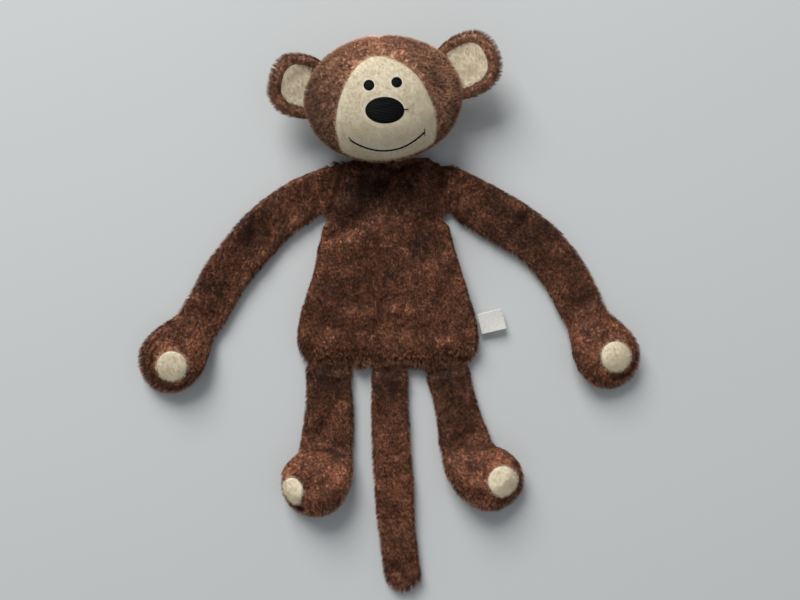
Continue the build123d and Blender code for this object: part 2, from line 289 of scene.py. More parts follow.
def satin_stitch(name, colour, across, pitch):
    """Embroidery thread laid side by side along a direction."""
    material, nodes, links, shader, coords = new_material(name)
    turn = nodes.new("ShaderNodeMapping")
    set_inputs(turn, {"Rotation": (0, 0, across)})
    links.new(coords, turn.inputs["Vector"])
    wave = nodes.new("ShaderNodeTexWave")
    set_inputs(wave, {"Scale": 1 / pitch / 6.28, "Distortion": 1.2, "Detail": 2.0})
    links.new(turn.outputs["Vector"], wave.inputs["Vector"])
    shade = colour_ramp(nodes, links, wave.outputs["Fac"], [(0.0, [c * 0.4 for c in colour]), (1.0, colour)])
    links.new(shade, shader.inputs["Base Color"])
    set_inputs(shader, {"Roughness": 0.6, "Specular IOR Level": 0.12})
    relief(nodes, links, shader, wave.outputs["Fac"], 0.3 * MM, 0.8)
    return material


def places_of(*rows):
    """Rows of x, y, z and reach in mm, and a gain, as lighter_near takes them."""
    return [((x * MM, y * MM, z * MM), reach * MM, gain) for x, y, z, reach, gain in rows]


ENDS = [(tuple(box_middle(f"{end}_{side}_pad")), reach, gain) for side in SIDES
        for end, reach, gain in (("hand", 75 * MM, 1.15), ("foot", 52 * MM, 1.3))]
# painted shade in the cloth's hollows: under the chin, in the torso's creases, on the arms and on the upper legs and
# tail
HOLLOW_PAINTED_SHADE = places_of(*((x, y, 9, reach, gain) for x, y, reach, gain in (
    (0, 68, 52, 0.62), (-23, 41, 21, 0.50), (-12, 50, 16, 0.65), (-29, -18, 15, 0.66), (24, 12, 17, 0.62),
    (22, 40, 15, 0.75), (3, -8, 13, 0.75), (95, 24, 22, 0.55), (129, -22, 15, 0.60), (70, 42, 14, 0.70),
    (-92, 20, 18, 0.60), (-112, -16, 14, 0.65), (46, -99, 19, 0.50), (-54, -92, 14, 0.68), (12, -100, 12, 0.75))))
# painted highlights on the ridges and bumps of the cloth, and over the lower legs and tail
RIDGE_PAINTED_HIGHLIGHTS = places_of(*((x, y, 10, reach, gain) for x, y, reach, gain in (
    (-36, 15, 13, 1.45), (-19, -33, 9, 1.45), (13, -33, 9, 1.45), (24, -8, 14, 1.25), (-6, -44, 16, 1.2),
    (46, 44, 12, 1.5), (-34, 47, 11, 1.35), (-52, -35, 15, 1.25), (-44, -58, 14, 1.3), (40, -56, 16, 1.3),
    (3, -140, 48, 1.3))))
# painted shadow on the tops of the legs and tail, under the torso's hem
PAINTED_SHADOW_UNDER_HEM = [(tuple(joint_place(joint) + np.array([0, -9 * MM, 0])), 20 * MM, 0.5)
             for joint in ("hip_left", "hip_right", "tail_root")]
# painted light on the top of the head and painted shade lower on its side
CROWN_PAINTED_LIGHT_AND_SHADE = places_of((-10, 138, 38, 36, 1.5), (-43, 101, 36, 28, 0.70))
# in each plush the root colour is painted shade deep in the pile and the tip colour is painted light
BROWN = plush("brown_plush", (0.024, 0.007, 0.0035), (0.175, 0.060, 0.029), (0.66, 0.37, 0.235),
              ((0.60, 0.54, 0.50), (1.30, 1.26, 1.22)), 62.0, 0.04, 640.0, (0.56, 1.36),
              ENDS + HOLLOW_PAINTED_SHADE + RIDGE_PAINTED_HIGHLIGHTS + PAINTED_SHADOW_UNDER_HEM)
# a lighter copy of the brown plush, for the head and ears: painted light
HEAD_BROWN_PAINTED_LIT = plush("brown_plush_head_painted_lit", (0.05, 0.017, 0.009), (0.33, 0.15, 0.085), (0.82, 0.54, 0.37),
                   ((0.72, 0.68, 0.66), (1.4, 1.38, 1.35)), 50.0, 0.12, 640.0, (0.68, 1.28), CROWN_PAINTED_LIGHT_AND_SHADE)
CREAM = plush("cream_plush", (0.76, 0.64, 0.44), (0.90, 0.82, 0.64), (0.98, 0.95, 0.84),
              ((0.95, 0.92, 0.88), (1.03, 1.02, 1.01)), 60.0, 0.05, 900.0, (0.98, 1.01))
BLACK = satin_stitch("black_thread", (0.003, 0.003, 0.005), math.radians(84), 0.00045)


# ---- meshes -----------------------------------------------------------------------
def made_from(shape, name):
    """A new mesh from a bmesh, which is freed."""
    mesh = bpy.data.meshes.new(name)
    shape.to_mesh(mesh)
    shape.free()
    return mesh


def cut_off(shape, place, heading):
    """Takes away what lies past a plane."""
    everything = shape.verts[:] + shape.edges[:] + shape.faces[:]
    bmesh.ops.bisect_plane(shape, geom=everything, plane_co=place, plane_no=heading, clear_outer=True)


def weld(mesh):
    """Points that lie on each other become one, and faces with no area go."""
    shape = bmesh.new()
    shape.from_mesh(mesh)
    bmesh.ops.remove_doubles(shape, verts=shape.verts, dist=0.01 * MM)
    bmesh.ops.dissolve_degenerate(shape, edges=shape.edges, dist=0.005 * MM)
    bmesh.ops.recalc_face_normals(shape, faces=shape.faces)
    shape.to_mesh(mesh)
    shape.free()


def thick_grid(name, outer, inner, wrap):
    """A closed mesh between two grids of points of the same size, outside and inside."""
    rows, columns = outer.shape[:2]
    count = rows * columns
    faces = []
    reach = columns if wrap else columns - 1
    for i in range(rows - 1):
        for j in range(reach):
            k = (j + 1) % columns
            a, b, c, d = i * columns + j, i * columns + k, (i + 1) * columns + k, (i + 1) * columns + j
            faces.append([a, b, c, d])
            faces.append([d + count, c + count, b + count, a + count])
    for i in (0, rows - 1):
        for j in range(reach):
            a, b = i * columns + j, i * columns + (j + 1) % columns
            faces.append([b, a, a + count, b + count])
    if not wrap:
        for j in (0, columns - 1):
            for i in range(rows - 1):
                a, b = i * columns + j, (i + 1) * columns + j
                faces.append([a, b, b + count, a + count])
    points = np.concatenate([outer.reshape(-1, 3), inner.reshape(-1, 3)])
    mesh = bpy.data.meshes.new(name)
    mesh.from_pydata(points.tolist(), [], faces)
    weld(mesh)
    return mesh


def placed(name, data):
    """A new object in the scene."""
    made = bpy.data.objects.new(name, data)
    bpy.context.scene.collection.objects.link(made)
    return made


def piece_of(name, mesh, material):
    mesh.name = name
    mesh.materials.clear()
    mesh.materials.append(material)
    mesh.polygons.foreach_set("use_smooth", [True] * len(mesh.polygons))
    return placed(name, mesh)


def after(mesh, kind, **settings):
    """The mesh as one modifier leaves it."""
    carrier = placed("carrier", mesh)
    modifier = carrier.modifiers.new("step", kind)
    for name, value in settings.items():
        setattr(modifier, name, value)
    graph = bpy.context.evaluated_depsgraph_get()
    done = bpy.data.meshes.new_from_object(carrier.evaluated_get(graph))
    bpy.data.objects.remove(carrier)
    return done


def points_of(mesh):
    flat = np.empty(len(mesh.vertices) * 3)
    mesh.vertices.foreach_get("co", flat)
    return flat.reshape(-1, 3)


def normals_of(mesh):
    flat = np.empty(len(mesh.vertices) * 3)
    mesh.vertex_normals.foreach_get("vector", flat)
    return flat.reshape(-1, 3)


def move_to(mesh, points):
    mesh.vertices.foreach_set("co", points.ravel())
    mesh.update()


def relax(mesh, rounds, pull=0.5, push=-0.51):
    """Evens out a mesh without shrinking it: each point goes to its neighbours' middle, and part of the way back."""
    points = points_of(mesh)
    ends = np.empty(len(mesh.edges) * 2, dtype=np.int64)
    mesh.edges.foreach_get("vertices", ends)
    first, second = ends.reshape(-1, 2).T
    links = np.bincount(np.concatenate([first, second]), minlength=len(points))[:, None]
    for _ in range(rounds):
        for part in (pull, push):
            sums = np.zeros_like(points)
            for axis in range(3):
                sums[:, axis] = np.bincount(first, points[second, axis], len(points))
                sums[:, axis] += np.bincount(second, points[first, axis], len(points))
            points = points + part * (sums / np.maximum(links, 1) - points)
    move_to(mesh, points)


def slice_points(nodes, place, heading, low, high):
    """Where some CAD nodes lie between two planes across a heading, with the outlines of both cuts."""
    shape = bmesh.new()
    for node in nodes:
        shape.from_mesh(frame["nodes"][node].data)
    place, heading = np.asarray(place), np.asarray(heading)
    for reach, sign in ((low, -1), (high, 1)):
        cut_off(shape, place + heading * reach, heading * sign)
    points = [v.co.copy() for v in shape.verts]
    shape.free()
    return points


def hull_of(points):
    """The tight closed skin round a cloud of points."""
    shape = bmesh.new()
    for point in points:
        shape.verts.new(point)
    made = bmesh.ops.convex_hull(shape, input=shape.verts)
    spare = [g for g in made["geom_interior"] + made["geom_unused"] if isinstance(g, bmesh.types.BMVert)]
    bmesh.ops.delete(shape, geom=list(set(spare)), context="VERTS")
    bmesh.ops.recalc_face_normals(shape, faces=shape.faces)
    return made_from(shape, "hull")


def fold_heading(joint):
    """Level, across a joint's axis, from its parent to its child."""
    heading = np.cross((0, 0, 1.0), joint_axis(joint))
    child = frame["record"]["behaviour"]["bodies"][JOINTS[joint]["child"]]
    towards = box_middle(*child) - joint_place(joint)
    return heading / np.linalg.norm(heading) * (1 if heading @ towards > 0 else -1)


def filled_fold(joint, nodes, reach=9 * MM):
    """Cloth that fills the hinge groove the CAD leaves at a fold."""
    return hull_of(slice_points(nodes, joint_place(joint), fold_heading(joint), -reach, reach))


def skin_over(nodes, voxel, rounds, finer=1, extra=()):
    """One closed skin round some CAD nodes together, evened out."""
    shape = bmesh.new()
    for mesh in [frame["nodes"][node].data for node in nodes] + list(extra):
        shape.from_mesh(mesh)
    mesh = after(made_from(shape, "joined"), "REMESH", mode="VOXEL", voxel_size=voxel)
    shape = bmesh.new()
    shape.from_mesh(mesh)
    parts, left = [], set(shape.verts)
    while left:
        part = [left.pop()]
        for vertex in part:              # it grows as it is walked
            beside = left.intersection(edge.other_vert(vertex) for edge in vertex.link_edges)
            left -= beside
            part += beside
        parts.append(part)
    parts.sort(key=len)
    bmesh.ops.delete(shape, geom=[v for part in parts[:-1] for v in part], context="VERTS")
    shape.to_mesh(mesh)
    shape.free()
    relax(mesh, rounds)
    return after(mesh, "SUBSURF", levels=finer, render_levels=finer) if finer else mesh


def sculpt(mesh, depth):
    """Moves each point out along its normal by what depth(points, normals) says."""
    points, normals = points_of(mesh), normals_of(mesh)
    move_to(mesh, points + normals * depth(points, normals)[:, None])


def cut_mesh(mesh, place, heading):
    """The part of a closed mesh behind a plane, closed again."""
    shape = bmesh.new()
    shape.from_mesh(mesh)
    cut_off(shape, place, heading)
    open_edges = [edge for edge in shape.edges if edge.is_boundary]
    caps = bmesh.ops.holes_fill(shape, edges=open_edges, sides=0)["faces"]
    bmesh.ops.triangulate(shape, faces=caps)
    return made_from(shape, mesh.name)


def tufts(points, seed):
    """Small clumps that the pile parts into."""
    return 0.6 * noise(points, 3.2 * MM, seed) + 0.4 * noise(points, 1.5 * MM, seed + 1)


def fur(piece, length, lean, seed, wild=0.12, density=1.0, thickness=STRAND, clump=0.5, group=None):
    """Short pile: guide hairs spread over the faces, and strands that clump round each.

    A hair is four times as long as its velocity, which is shared between the normal and the lean.
    """
    system = piece.modifiers.new("pile", "PARTICLE_SYSTEM").particle_system
    system.seed = seed
    area = sum(face.area for face in piece.data.polygons)
    upright = math.sqrt(max(0.0, 1 - float(np.dot(lean, lean))))
    settings = dict(
        type="HAIR", count=max(50, int(area * 1e6 * HAIRS_PER_MM2 * density)),
        hair_step=3, render_step=2, display_step=2,
        normal_factor=length / 4 * upright, object_align_factor=tuple(length / 4 * np.asarray(lean)),
        factor_random=length / 4 * wild,
        child_type="SIMPLE", rendered_child_count=CHILDREN, child_percent=1, child_radius=0.9 * MM,
        child_roundness=0.6, clump_factor=clump, clump_shape=-0.2,
        roughness_1=0.25 * MM, roughness_1_size=1.0, roughness_2=0.35 * MM, roughness_2_size=1.0,
        child_length=1.0, child_size_random=0.4,
        radius_scale=1.0, root_radius=thickness, tip_radius=thickness * 0.35)
    for name, value in settings.items():
        setattr(system.settings, name, value)
    if group:
        system.vertex_group_density = group


def weight_group(piece, name, weights):
    """A vertex group that holds one weight for each point."""
    group = piece.vertex_groups.new(name=name)
    for index, weight in enumerate(weights):
        if weight > 0:
            group.add([index], float(weight), "REPLACE")


# ---- limbs and torso --------------------------------------------------------------
FUR = []                     # pieces to grow pile on, once every mesh is made


def furred(piece, length, lean, seed, **settings):
    FUR.append((piece, length, np.asarray(lean, float), seed, settings))


def pad_weights(mesh, pads, reach=1.98 * MM):
    """1 where pile grows, and 0 within reach of the CAD nodes that lie on it."""
    points = points_of(mesh)
    weights = np.ones(len(points))
    for pad in pads:
        surface = surface_of(pad)
        low, high = (np.array(corner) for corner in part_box(pad))
        for k in np.flatnonzero(np.all((points > low - reach) & (points < high + reach), axis=1)):
            if surface.find_nearest(Vector(points[k]), reach)[0] is not None:
                weights[k] = 0
    return weights


def limp_surface(seed, creases=(), lumps=1.0):
    """The surface of a limp, unstuffed skin: inset for the pile, with soft lumps, given creases and tufts."""
    def depth(points, normals):
        upper = smooth_ramp(normals[:, 2], -0.2, 0.5)
        amount = -INSET + 0.36 * MM * tufts(points, seed)
        amount = amount + lumps * upper * 1.0 * MM * noise(points, 13 * MM, seed + 5)
        for line, size, height in creases:
            amount = amount + upper * height * crease_at(points, line, size)
        return amount
    return depth


def arm_creases(side):
    """Hollows along and across a limp arm: lines of points, and each one's width and height."""
    shoulder, elbow, wrist = (joint_place(f"{joint}_{side}")[:2] for joint in ("shoulder", "elbow", "wrist"))

    def from_run(start, end):
        """Places by mm along and across the run between two points."""
        run = (end - start) / np.linalg.norm(end - start)
        across = np.array([-run[1], run[0]]) * SIDES[side]
        return lambda place, along, aside: place + (along * run + aside * across) * MM

    upper, lower = from_run(shoulder, elbow), from_run(elbow, wrist)
    return [([lower(elbow, 0, 4), lower(elbow, 18, 3), lower(wrist, 0, -6)], 4.2 * MM, -2.2 * MM),
            ([lower(elbow, -4, 10), lower(elbow, 0, -6)], 3.0 * MM, -1.6 * MM),
            ([upper(shoulder, 16, 5), upper(elbow, -12, -2)], 4.0 * MM, -1.9 * MM),
            ([lower(wrist, 2, 9), lower(wrist, -2, -7)], 3.4 * MM, -1.8 * MM)]


PIECES = {}                  # the cream pieces, which get short pile


def layers(*parts):
    """The back and front layers of some limp parts."""
    return [f"{part}_{layer}" for part in parts for layer in ("back", "front")]


def limp_piece(name, mesh, nodes, seed, lean, pads=()):
    """A plush skin that reaches across a fold between two bodies, and its pile, kept off its pads."""
    piece = piece_of(name, mesh, BROWN)
    if pads:
        weight_group(piece, "pile", pad_weights(piece.data, pads))
    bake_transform(piece)
    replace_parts(piece, *nodes)
    furred(piece, PILE, lean, seed, group="pile" if pads else None)


for side, s in SIDES.items():
    upper_arm, forearm, hand = f"upper_arm_{side}", f"forearm_{side}", f"hand_{side}"
    arm_nodes = layers(upper_arm, forearm, hand)
    folds = [filled_fold(f"{joint}_{side}", arm_nodes) for joint in ("elbow", "wrist")]
    arm = skin_over(arm_nodes + [f"{hand}_pad", f"{hand}_stuffing"], 1.5 * MM, 12, extra=folds)
    sculpt(arm, limp_surface(10 + s, arm_creases(side)))
    elbow, wrist = joint_place("elbow_" + side), joint_place("wrist_" + side)
    cut = (elbow + wrist) / 2
    heading = (wrist - elbow) / np.linalg.norm(wrist - elbow)
    lean = 0.75 * heading
    limp_piece(f"arm_sleeve_{side}", cut_mesh(arm, cut, heading),
               layers(upper_arm), 20 + s, lean)
    limp_piece(f"hand_cover_{side}", cut_mesh(arm, cut, -heading),
               [*layers(forearm, hand), f"{hand}_stuffing"], 24 + s, lean, [f"{hand}_pad"])

    leg_body, foot_body = f"leg_{side}", f"foot_{side}"
    leg_nodes = layers(leg_body, foot_body)
    leg = skin_over(leg_nodes + [f"{foot_body}_pad", f"{foot_body}_stuffing"], 1.5 * MM, 12,
                    extra=[filled_fold(f"ankle_{side}", leg_nodes)])
    ankle, hip = joint_place("ankle_" + side), joint_place("hip_" + side)
    down = (ankle - hip) / np.linalg.norm(ankle - hip)
    out = np.array([s, 0.0])
    along_leg = [hip[:2] - 6 * MM * out, (hip + ankle)[:2] / 2 - 3 * MM * out, ankle[:2] + 5 * MM * out]
    across_ankle = [ankle[:2] - 10 * MM * out + 5 * MM * down[:2], ankle[:2] + 10 * MM * out - 3 * MM * down[:2]]
    leg_creases = [(along_leg, 4.0 * MM, -2.0 * MM), (across_ankle, 3.0 * MM, -1.2 * MM)]
    sculpt(leg, limp_surface(30 + s, leg_creases))
    limp_piece(f"leg_cover_{side}", leg,
               [*leg_nodes, f"{foot_body}_stuffing"], 34 + s, 0.75 * down, [f"{foot_body}_pad"])

tail_nodes = layers("tail_base", "tail_tip")
tail = skin_over(tail_nodes, 1.5 * MM, 12, extra=[filled_fold("tail_fold", tail_nodes)])
fold, root = joint_place("tail_fold"), joint_place("tail_root")
down = (fold - root) / np.linalg.norm(fold - root)
along_tail = [root[:2] + (5 * MM, 0), fold[:2] - (4 * MM, 0), fold[:2] + (2 * MM, -60 * MM)]
across_tail = [fold[:2] + (-12 * MM, -3 * MM), fold[:2] + (12 * MM, 4 * MM)]
sculpt(tail, limp_surface(40, [(along_tail, 3.0 * MM, -1.0 * MM), (across_tail, 2.6 * MM, -1.0 * MM)]))
limp_piece("tail_cover", tail, tail_nodes, 42, 0.75 * down)

# ---- the cloth in the seams that the limbs fold about --------------------------------
ROOTS = {f"{joint}_{side}": (f"{part}_{side}", f"{joint}_seam_{side}")
         for side in SIDES for joint, part in (("shoulder", "upper_arm"), ("hip", "leg"))}
ROOTS["tail_root"] = ("tail_base", "tail_seam")
for k, (joint, (limb, seam_node)) in enumerate(ROOTS.items()):
    place, heading, span = joint_place(joint), fold_heading(joint), joint_axis(joint)
    at_shoulder = "shoulder" in joint
    behind, web, inset, taper = ((4.0, 1.5, 1.6, 2.5) if at_shoulder else (2.5, 0.0, 1.2, 7.0))     # in mm
    cloud = slice_points(layers(limb), place, heading, 0, 13 * MM)
    reaches = [(Vector(p) - Vector(place)).dot(Vector(span)) for p in cloud]
    inner = slice_points(["torso_back", "torso_front", seam_node], place, heading, -behind * MM, 0)
    cloud += [p for p in inner
              if min(reaches) - web * MM < (p - Vector(place)).dot(Vector(span)) < max(reaches) + web * MM]
    if at_shoulder:          # its lower edge runs up from the arm into the armpit
        down = span * -np.sign(span[1])
        lowest = max((np.array(p) - place) @ down for p in cloud)
        cloud = [p for p in cloud if (np.array(p) - place) @ down
                 < lowest - 11 * MM * (1 - max(0.0, (np.array(p) - place) @ heading) / (13 * MM))]
    fold_mesh = skin_over([], 1.2 * MM, 20, extra=[hull_of(cloud)])
    sculpt(fold_mesh, lambda points, normals: -inset * MM + 0.2 * MM * tufts(points, 130)
           - 3.0 * MM * smooth_ramp((points - place) @ heading, taper * MM, 12.5 * MM)
           - 1.2 * MM * smooth_ramp((place - points) @ heading, 0, 2.5 * MM))
    gusset = piece_of(f"{joint}_fold", fold_mesh, BROWN)
    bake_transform(gusset)
    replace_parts(gusset, seam_node)
    furred(gusset, PILE, 0.75 * heading, 140 + k)

torso_nodes = ["torso_back", "torso_front", "torso_wadding", "neck_seam"]
torso = skin_over(torso_nodes + [seam_node for limb, seam_node in ROOTS.values()], 1.7 * MM, 14)
TORSO_CREASES = [([(x * MM, y * MM) for x, y in line], width * MM, height * MM) for line, width, height in (
    (((4, 66), (-8, 46), (-24, 27), (-44, 20)), 6.5, -4.4),
    (((-46.5, 13.9), (-21.5, 15.2)), 5.0, 2.4),
    (((-27, 62), (-33, 40)), 5.0, 1.8),
    (((30, 63), (33, 36), (36, 10)), 5.5, -2.4),
    (((-19, -30), (-11, -33)), 4.5, 2.8),
    (((9, -31), (17, -33)), 4.5, 2.8),
    (((-30, -25), (-8, -22), (20, -24)), 6.0, -2.0),
    (((14, 2), (30, -6)), 6.5, 2.2),
    (((-36, -40), (34, -42)), 8.0, -1.4))]
sculpt(torso, limp_surface(50, TORSO_CREASES, lumps=1.3))
torso_cover = piece_of("torso_cover", torso, BROWN)
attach(torso_cover, "torso")
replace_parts(torso_cover, *torso_nodes)
furred(torso_cover, PILE, (0, -0.7, 0), 52)
hem_line = max(joint_place(joint)[1] for joint in ("hip_left", "hip_right", "tail_root"))
torso_points = points_of(torso_cover.data)
weight_group(torso_cover, "hem", (torso_points[:, 1] < hem_line + 4 * MM) & (torso_points[:, 2] > 3.0 * MM))
furred(torso_cover, HEM_PILE, (0, -0.6, 0.15), 53, group="hem", density=0.08, wild=0.3)
for k, side in enumerate(SIDES):
    joint = f"shoulder_{side}"
    place, span, heading = joint_place(joint), joint_axis(joint), fold_heading(joint)
    across, along = (torso_points - place) @ heading, (torso_points - place) @ span
    weight_group(torso_cover, joint, (np.abs(across) < 5 * MM) & (np.abs(along) < 19 * MM)
                 & (torso_points[:, 2] > 3 * MM))
    furred(torso_cover, HEM_PILE, 0.8 * heading + np.array([0, -0.3, 0.1]), 54 + k, group=joint, density=0.02)


# ---- head: a grid of directions from the middle of the face ------------------------
head_nodes = ["head_side_left", "head_side_right", "face_panel"]
head_surface = surface_of(*head_nodes)
face_surface = surface_of("face_panel")
hood_surface = surface_of("head_side_left", "head_side_right", "head_stuffing")
head_low = np.min([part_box(node)[0] for node in head_nodes], axis=0)
head_high = np.max([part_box(node)[1] for node in head_nodes], axis=0)
face_low, face_high = (np.array(c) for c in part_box("face_panel"))
HEAD_MIDDLE = np.array([*((face_low + face_high) / 2)[:2], (head_low + head_high)[2] / 2])
HEAD_COLUMNS = 320
ANGLES = np.linspace(0, 2 * math.pi, HEAD_COLUMNS, endpoint=False)


def direction(tilt, turn):
    """A unit vector at an angle from straight up, turned about the upright."""
    return np.array([math.sin(tilt) * math.cos(turn), math.sin(tilt) * math.sin(turn), math.cos(tilt)])


def on_face(tilt, turn):
    """Whether the outermost surface in a direction is the face's."""
    face = outer_hit(face_surface, HEAD_MIDDLE, direction(tilt, turn))
    hood = outer_hit(hood_surface, HEAD_MIDDLE, direction(tilt, turn))
    return face is not None and (hood is None or face > hood)


def face_edge(turn):
    """How far from straight up the face reaches on one side."""
    low, high = 0.0, math.radians(100)
    for _ in range(11):
        middle = (low + high) / 2
        low, high = (middle, high) if on_face(middle, turn) else (low, middle)
    return low


def round_soften(values, width):
    kernel = np.hanning(2 * width + 3)[1:-1]
    ringed = np.concatenate([values[-width - 1:], values, values[:width + 1]])
    return np.convolve(ringed, kernel / kernel.sum(), mode="same")[width + 1:-width - 1]


EDGE = round_soften(np.array([face_edge(turn) for turn in ANGLES]), 3)


def head_grid(tilts, turns):
    """Points on the CAD head, in rows of tilts that may differ by column."""
    grid = np.empty((len(tilts), len(turns), 3))
    for j, turn in enumerate(turns):
        for i in range(len(tilts)):
            ray = direction(tilts[i][j], turn)
            reach = outer_hit(head_surface, HEAD_MIDDLE, ray) or 40 * MM
            grid[i, j] = HEAD_MIDDLE + ray * reach
    return grid


def smooth_grid(grid, rounds, wrap):
    """Evens out a grid; its first and last rows stay."""
    for _ in range(rounds):
        if wrap:
            beside = (np.roll(grid, 1, axis=1) + np.roll(grid, -1, axis=1)) / 2
        else:
            beside = grid.copy()
            beside[:, 1:-1] = (grid[:, :-2] + grid[:, 2:]) / 2
        mixed = grid.copy()
        mixed[1:-1] = 0.375 * (grid[1:-1] + (grid[:-2] + grid[2:]) / 2) + 0.25 * beside[1:-1]
        if wrap:
            mixed[0] = grid[1].mean(axis=0)
            mixed[-1] = 0.5 * grid[-1] + 0.5 * beside[-1]
        grid = mixed
    return grid


def pushed_out(grid, amount):
    """Each point of a grid moved away from the head's middle."""
    away = grid - HEAD_MIDDLE
    return grid + away / np.linalg.norm(away, axis=-1, keepdims=True) * amount[..., None]


def seam_dip(distance, depth, width):
    return -depth * np.exp(-(distance / width) ** 2)


FACE_ROWS, HOOD_ROWS = 56, 84
face_share = np.linspace(0.004, 1, FACE_ROWS)
face_tilts = [share * EDGE for share in face_share]
face_grid = smooth_grid(head_grid(face_tilts, ANGLES), 6, True)
edge_gap = (1 - face_share)[:, None] * EDGE[None] * FACE_RADIUS
face_amount = -0.9 * MM + seam_dip(edge_gap, 1.7 * MM, 2.2 * MM) + 0.05 * MM * noise(face_grid, 2.0 * MM, 61)
face_amount = face_amount + 0.4 * MM * noise(face_grid, 13 * MM, 62)
nose_middle = box_middle("nose")
muzzle = np.array([nose_middle[0], (nose_middle[1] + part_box("mouth_stitch")[0][1]) / 2, nose_middle[2]])
face_amount = face_amount + 1.2 * MM * bump_at(face_grid, muzzle, 14 * MM)
face_mesh = thick_grid("face", pushed_out(face_grid, face_amount), pushed_out(face_grid, face_amount - BACKING), True)
face = piece_of("face", face_mesh, CREAM)
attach(face, "head")
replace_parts(face, "face_panel")

hood_share = np.linspace(0, 1, HOOD_ROWS) ** 1.1
SEAM_TURN = math.radians(90 + 6)
for side, s in SIDES.items():
    # the centre seam runs over the crown: each half takes the columns on its own side of it
    turns = SEAM_TURN - s * np.linspace(0, math.pi, HEAD_COLUMNS // 2 + 1)
    edge = np.interp(np.mod(turns, 2 * math.pi), np.append(ANGLES, 2 * math.pi), np.append(EDGE, EDGE[0]))
    tilts = [edge + (math.pi - 0.006 - edge) * share for share in hood_share]
    grid = smooth_grid(head_grid(tilts, turns), 6, False)
    gap = hood_share[:, None] * (math.pi - edge)[None] * HOOD_RADIUS
    swing = np.abs(np.sin(turns - SEAM_TURN))[None] * np.linalg.norm(grid - HEAD_MIDDLE, axis=-1) * np.sin(tilts)
    amount = -INSET + seam_dip(gap, 1.2 * MM, 2.4 * MM) + seam_dip(swing, 0.45 * MM, 2.0 * MM)
    amount = amount + 0.36 * MM * tufts(grid, 70 + s) + 0.5 * MM * noise(grid, 15 * MM, 72 + s)
    hood_mesh = thick_grid("hood", pushed_out(grid, amount), pushed_out(grid, amount - BACKING), False)
    hood = piece_of(f"hood_{side}", hood_mesh, HEAD_BROWN_PAINTED_LIT)
    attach(hood, "head")
    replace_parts(hood, f"head_side_{side}", f"ear_seam_{side}", *(["head_stuffing"] if side == "left" else []))
    furred(hood, PILE, (0.5 * s, 0.15, -0.45), 74 + s)

    # an ear: a cupped double disc, with a rolled rim and a cream lining that reaches the head
    lining_points = points_of(frame["nodes"][f"ear_lining_{side}"].data)
    ear_points = points_of(frame["nodes"][f"ear_rim_{side}"].data)
    hinge, v_way = joint_place(f"ear_{side}_flap"), joint_axis(f"ear_{side}_flap")
    n_way = np.linalg.svd(lining_points - lining_points.mean(axis=0), full_matrices=False)[2][2]
    n_way = n_way * np.sign(n_way[2])
    u_way = np.cross(v_way, n_way)
    u_way = u_way / np.linalg.norm(u_way) * np.sign(u_way[0] * s)
    v_way = np.cross(n_way, u_way)
    far_reach = ((ear_points - hinge) @ u_way).max()
    ear_middle = hinge + u_way * (far_reach - EAR_OUTLINE)
    ear_middle = ear_middle + n_way * (((ear_points - ear_middle) @ n_way).max() - 4.5 * MM)
    ear_middle = ear_middle + v_way * ((ear_points - ear_middle) @ v_way).mean()
    ear_middle = ear_middle + np.array(EAR_SHIFT[side])
    stretch = EAR_STRETCH[side]
    tuck = (hinge - ear_middle) @ u_way - EAR_TUCK

    def ear_grid(shares, turns, height_of, radius=EAR_RADIUS, stop=tuck, squeeze=1.0):
        """Points over an ear from its middle out, flattened where it is tucked into the head's seam."""
        share, turn = np.meshgrid(shares, turns, indexing="ij")
        square = (np.abs(np.cos(turn)) ** 2.5 + np.abs(np.sin(turn)) ** 2.5) ** (-1 / 2.5)
        u = share * radius * stretch * square * np.cos(turn)
        v = share * radius * square * np.sin(turn) * squeeze
        u = np.where(u < stop, stop + 0.12 * (u - stop), u)
        height = height_of(share, u, v)
        return ear_middle + u[..., None] * u_way + v[..., None] * v_way + height[..., None] * n_way

    ear_turns = np.linspace(0, 2 * math.pi, 200, endpoint=False)
    ear_shares = np.linspace(0.004, 1, 60)

    def ear_front(share, u, v):
        rim = np.exp(-((share - 0.84) / 0.13) ** 2) * 1.6 * MM
        lumps = 0.9 * MM * noise(np.stack([u, v, u * 0], axis=-1), 9 * MM, 81)
        return rim - 1.4 * MM * (1 - smooth_ramp(share, 0.35, 0.75)) + lumps

    def rolled_edge(share):
        return EAR_EDGE * (1 - np.sqrt(np.clip(1 - ((share - 0.86) / 0.1401) ** 2, 0, 1))) * (share > 0.86)

    def ear_top(share, u, v):
        return ear_front(share, u, v) - rolled_edge(share)

    def ear_under(share, u, v):
        thin = 3.2 * MM * (1 - smooth_ramp(u, tuck, tuck + 12 * MM))
        front = ear_front(share, u, v) * smooth_ramp(share, 0.8, 1)
        return -5.2 * MM - 0.6 * MM * (1 - share ** 2) + rolled_edge(share) + thin + front

    upper, lower = ear_grid(ear_shares, ear_turns, ear_top), ear_grid(ear_shares, ear_turns, ear_under)
    upper = upper + n_way * (0.28 * MM * tufts(upper, 82 + s) * (ear_shares < 0.95)[:, None])[..., None]
    ear_cover = piece_of(f"ear_cover_{side}", thick_grid("ear", upper, lower, True), HEAD_BROWN_PAINTED_LIT)
    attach(ear_cover, f"ear_{side}")
    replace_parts(ear_cover, f"ear_back_{side}", f"ear_rim_{side}")
    from_middle = points_of(ear_cover.data) - ear_middle
    lining_share = np.hypot((from_middle @ u_way) / LINING_HALF[0], (from_middle @ v_way) / LINING_HALF[1])
    under_lining = (lining_share < 0.97) & (from_middle @ n_way > -3.4 * MM)
    weight_group(ear_cover, "pile", np.where(under_lining, 0.0, 1.0))
    furred(ear_cover, EAR_PILE, 0.7 * u_way, 84 + s, group="pile")

    def lining_under(share, u, v):
        return ear_front(np.hypot(u, v) / EAR_RADIUS, u, v) - 0.5 * MM

    def lining_top(share, u, v):
        return ear_front(np.hypot(u, v) / EAR_RADIUS, u, v) + 1.5 * MM * (1 - share ** 4) + 0.3 * MM

